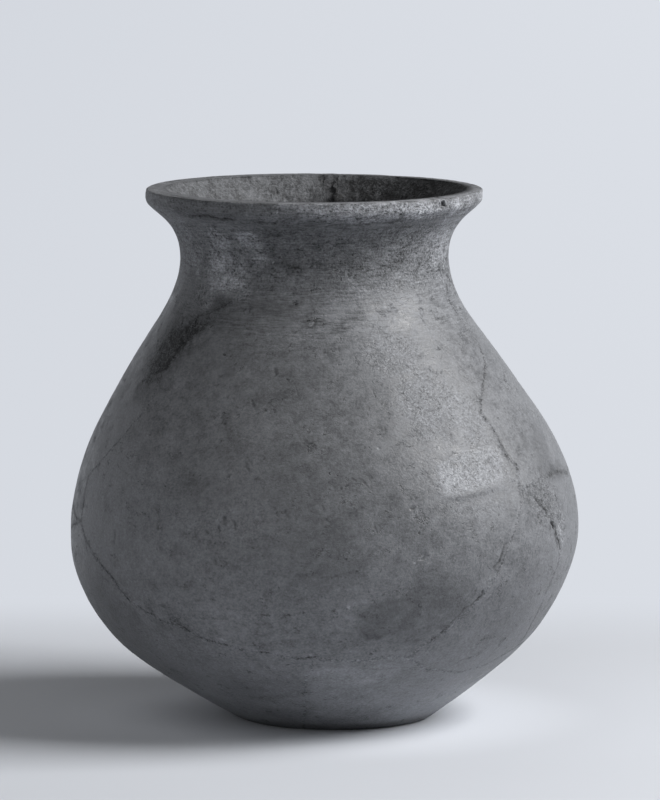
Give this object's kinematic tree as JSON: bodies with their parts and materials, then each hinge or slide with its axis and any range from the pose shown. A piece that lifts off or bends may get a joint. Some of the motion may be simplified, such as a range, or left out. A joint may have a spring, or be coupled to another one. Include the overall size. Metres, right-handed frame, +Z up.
{
  "type": "jar",
  "caption": "Round-bellied clay storage jar with a narrow neck, a flared rolled rim and a small flat foot, mended from its own sherds.",
  "frame": {"origin": "on the surface that the jar stands on, under the middle of its belly", "axes": "+Z up through the mouth, -Y out of the front that the picture shows, +X to the jar's right in that view"},
  "size_m": [0.224, 0.224, 0.234],
  "materials": {
    "neck_clay": "fired clay, worn burnish, matt with rough light patches",
    "body_clay": "fired clay, burnished in level strokes, soft sheen",
    "base_clay": "fired clay, worn burnish, matt underneath"
  },
  "bodies": {
    "root": {"neck_front_sherd": "neck_clay", "neck_right_sherd": "neck_clay", "left_shoulder_sherd": "body_clay", "body_front_sherd": "body_clay", "right_shoulder_sherd": "body_clay", "back_shoulder_sherd": "body_clay", "right_side_sherd": "body_clay", "lower_right_sherd": "body_clay", "lower_back_sherd": "body_clay", "base_left_sherd": "base_clay", "base_right_sherd": "base_clay"}
  },
  "joints": []
}
